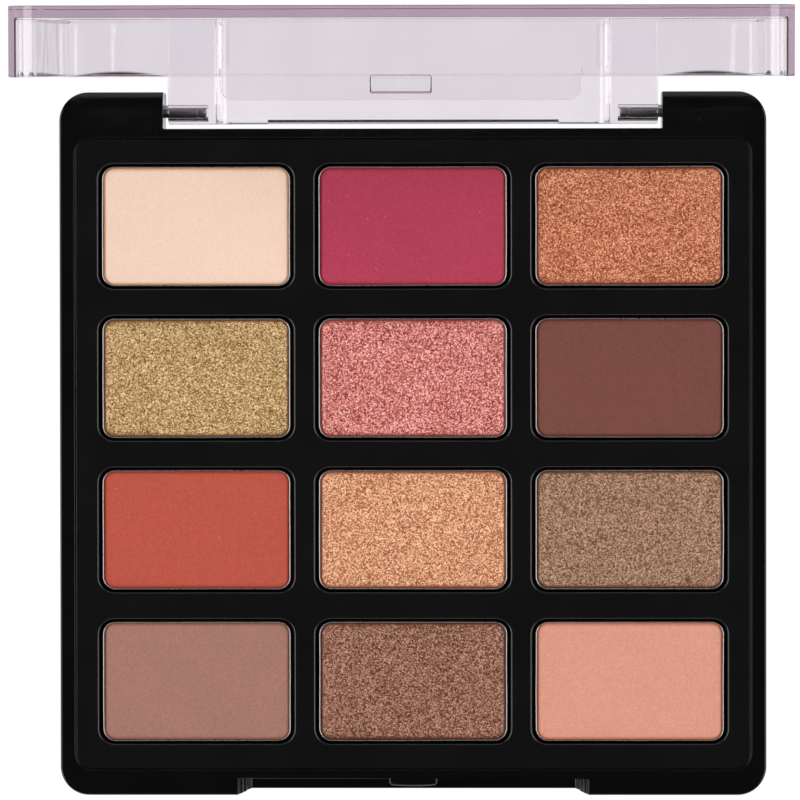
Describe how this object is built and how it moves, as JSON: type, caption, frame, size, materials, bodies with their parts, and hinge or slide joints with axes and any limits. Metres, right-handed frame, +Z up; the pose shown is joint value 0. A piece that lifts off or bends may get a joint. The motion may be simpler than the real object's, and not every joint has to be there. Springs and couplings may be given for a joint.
{
  "type": "eyeshadow palette",
  "caption": "Square black eyeshadow palette: a tray of pressed powders in metal pans, with a hinged clear lid and a snap closure.",
  "frame": {"origin": "centre of the base's flat underside", "axes": "+Z up out of the pans; +Y from the thumb notch to the hinge; +X to the right seen from the front"},
  "size_m": [0.098, 0.1091, 0.0986],
  "materials": {
    "case_black": "satin black moulded plastic with fine moulding texture",
    "tray_black": "satin black moulded plastic",
    "pan_metal": "thin pressed metal, bright at the rim",
    "pin_steel": "bright drawn steel",
    "glue_clear": "set hot-melt glue",
    "lid_clear": "clear styrene with a faint mauve tint, polished",
    "powder_r1c1": "pressed powder, matte",
    "powder_r1c2": "pressed powder, matte",
    "powder_r1c3": "pressed powder, shimmer",
    "powder_r2c1": "pressed powder, shimmer",
    "powder_r2c2": "pressed powder, shimmer",
    "powder_r2c3": "pressed powder, matte",
    "powder_r3c1": "pressed powder, matte",
    "powder_r3c2": "pressed powder, shimmer",
    "powder_r3c3": "pressed powder, shimmer",
    "powder_r4c1": "pressed powder, matte",
    "powder_r4c2": "pressed powder, shimmer",
    "powder_r4c3": "pressed powder, matte"
  },
  "bodies": {
    "base": {"base_case": "case_black", "hinge_pin_left": "pin_steel", "hinge_pin_right": "pin_steel", "pan_glue_r1c1": "glue_clear", "pan_glue_r1c2": "glue_clear", "pan_glue_r1c3": "glue_clear", "pan_glue_r2c1": "glue_clear", "pan_glue_r2c2": "glue_clear", "pan_glue_r2c3": "glue_clear", "pan_glue_r3c1": "glue_clear", "pan_glue_r3c2": "glue_clear", "pan_glue_r3c3": "glue_clear", "pan_glue_r4c1": "glue_clear", "pan_glue_r4c2": "glue_clear", "pan_glue_r4c3": "glue_clear", "pan_r1c1": "pan_metal", "pan_r1c2": "pan_metal", "pan_r1c3": "pan_metal", "pan_r2c1": "pan_metal", "pan_r2c2": "pan_metal", "pan_r2c3": "pan_metal", "pan_r3c1": "pan_metal", "pan_r3c2": "pan_metal", "pan_r3c3": "pan_metal", "pan_r4c1": "pan_metal", "pan_r4c2": "pan_metal", "pan_r4c3": "pan_metal", "powder_r1c1": "powder_r1c1", "powder_r1c2": "powder_r1c2", "powder_r1c3": "powder_r1c3", "powder_r2c1": "powder_r2c1", "powder_r2c2": "powder_r2c2", "powder_r2c3": "powder_r2c3", "powder_r3c1": "powder_r3c1", "powder_r3c2": "powder_r3c2", "powder_r3c3": "powder_r3c3", "powder_r4c1": "powder_r4c1", "powder_r4c2": "powder_r4c2", "powder_r4c3": "powder_r4c3", "tray_insert": "tray_black"},
    "lid": {"lid": "lid_clear"}
  },
  "joints": [
    {"name": "lid_hinge", "type": "hinge", "parent": "base", "child": "lid", "pos_m": [0, 0.0462, 0.0032], "axis": [-1, 0, 0], "range_deg": [-88, 32]}
  ]
}
